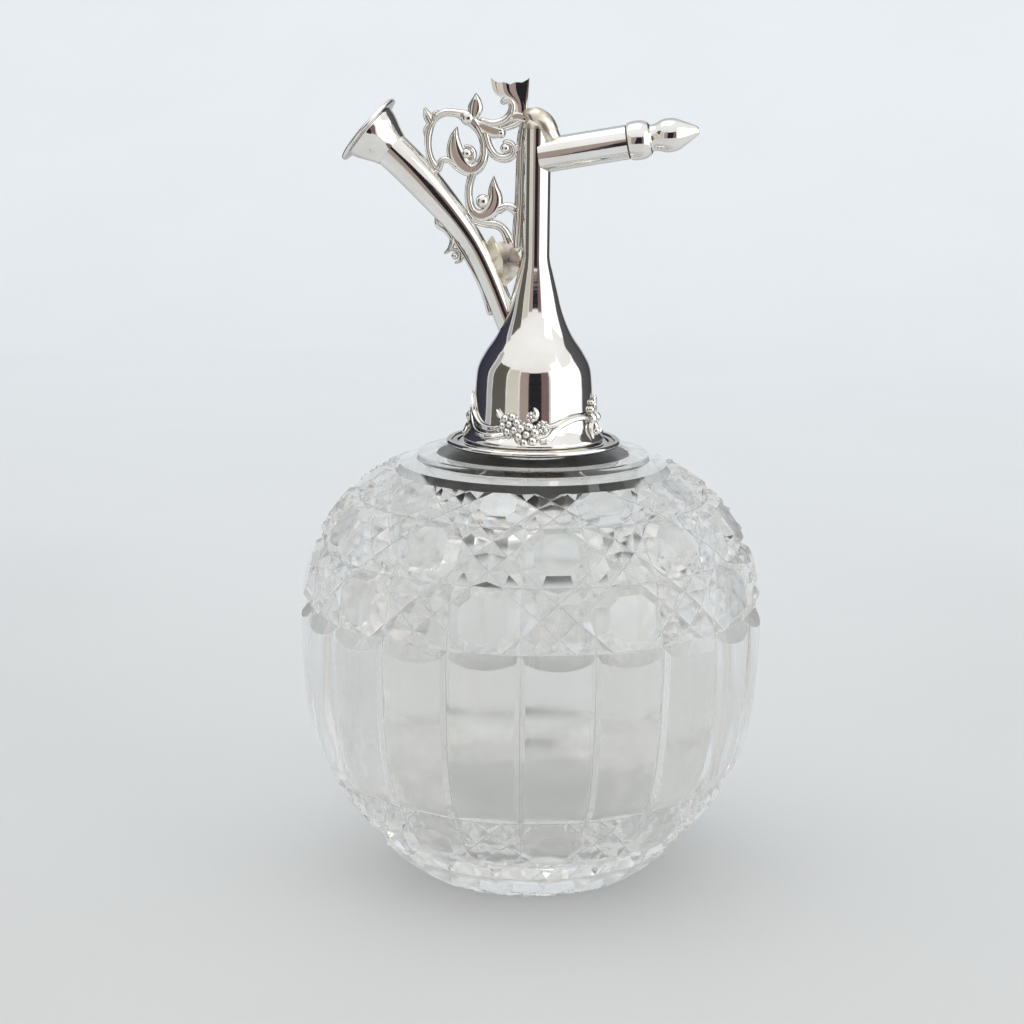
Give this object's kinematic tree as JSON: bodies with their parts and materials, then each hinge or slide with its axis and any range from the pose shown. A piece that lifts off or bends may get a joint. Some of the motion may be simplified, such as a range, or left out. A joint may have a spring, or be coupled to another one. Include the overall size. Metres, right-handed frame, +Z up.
{
  "type": "perfume atomiser",
  "caption": "Cut-glass table perfume atomiser with a screwed silver head: dip tube, spray nozzle with a removable tip, and an air trumpet that takes a squeeze bulb.",
  "frame": {"origin": "centre of the base, on the surface it stands on", "axes": "+Z up the bottle's axis, +X towards the spray nozzle, -X towards the air trumpet, -Y towards the front"},
  "size_m": [0.114, 0.114, 0.1947],
  "materials": {
    "cut_glass": "clear lead crystal, wheel-cut and polished",
    "tube_glass": "clear drawn glass tube",
    "silver": "polished silver plate with light tarnish in the recesses",
    "brass": "turned brass, unplated inside",
    "cork": "fine cork",
    "leather": "dark oiled leather washer",
    "plaster": "off-white plaster cement"
  },
  "bodies": {
    "bottle": {"bottle": "cut_glass", "neck_cement": "plaster", "neck_collar": "silver", "collar_flange": "silver"},
    "seal": {"neck_washer": "cork"},
    "pickup": {"dip_tube": "tube_glass"},
    "head": {"bell_cover": "silver", "thread_bush": "brass", "head_plug": "brass", "front_garland": "silver", "back_garland": "silver", "left_scroll": "silver", "right_scroll": "silver", "stem_tube": "silver", "stem_cap": "silver", "liquid_tube": "brass", "jet_tube": "brass", "jet": "brass", "nozzle_barrel": "silver", "trumpet_tube": "silver", "trumpet_mouth": "silver", "scroll_bracket": "silver", "lower_scroll": "silver", "trumpet_saddle": "silver"},
    "tip_seal": {"tip_washer": "leather"},
    "tip": {"nozzle_tip": "silver"}
  },
  "joints": [
    {"name": "lift_off", "type": "slide", "parent": "bottle", "child": "seal", "axis": [0, 0, 1], "range_m": [0, 0.115]},
    {"name": "thread_rise", "type": "slide", "parent": "seal", "child": "pickup", "axis": [0, 0, 1], "range_m": [0, 0.006]},
    {"name": "unscrew", "type": "hinge", "parent": "pickup", "child": "head", "pos_m": [0, 0, 0.12], "axis": [0, 0, 1], "range_deg": [0, 1085]},
    {"name": "tip_advance", "type": "slide", "parent": "head", "child": "tip_seal", "axis": [0.9848, 0, 0.1736], "range_m": [0, 0.0045]},
    {"name": "tip_turn", "type": "hinge", "parent": "tip_seal", "child": "tip", "pos_m": [0, 0, 0.176], "axis": [0.9848, 0, 0.1736], "range_deg": [0, 2170]}
  ],
  "couplings": [
    {"joint": "unscrew", "follows": "thread_rise", "rad_per_m": 3141.6},
    {"joint": "tip_turn", "follows": "tip_advance", "rad_per_m": 8377.6}
  ]
}
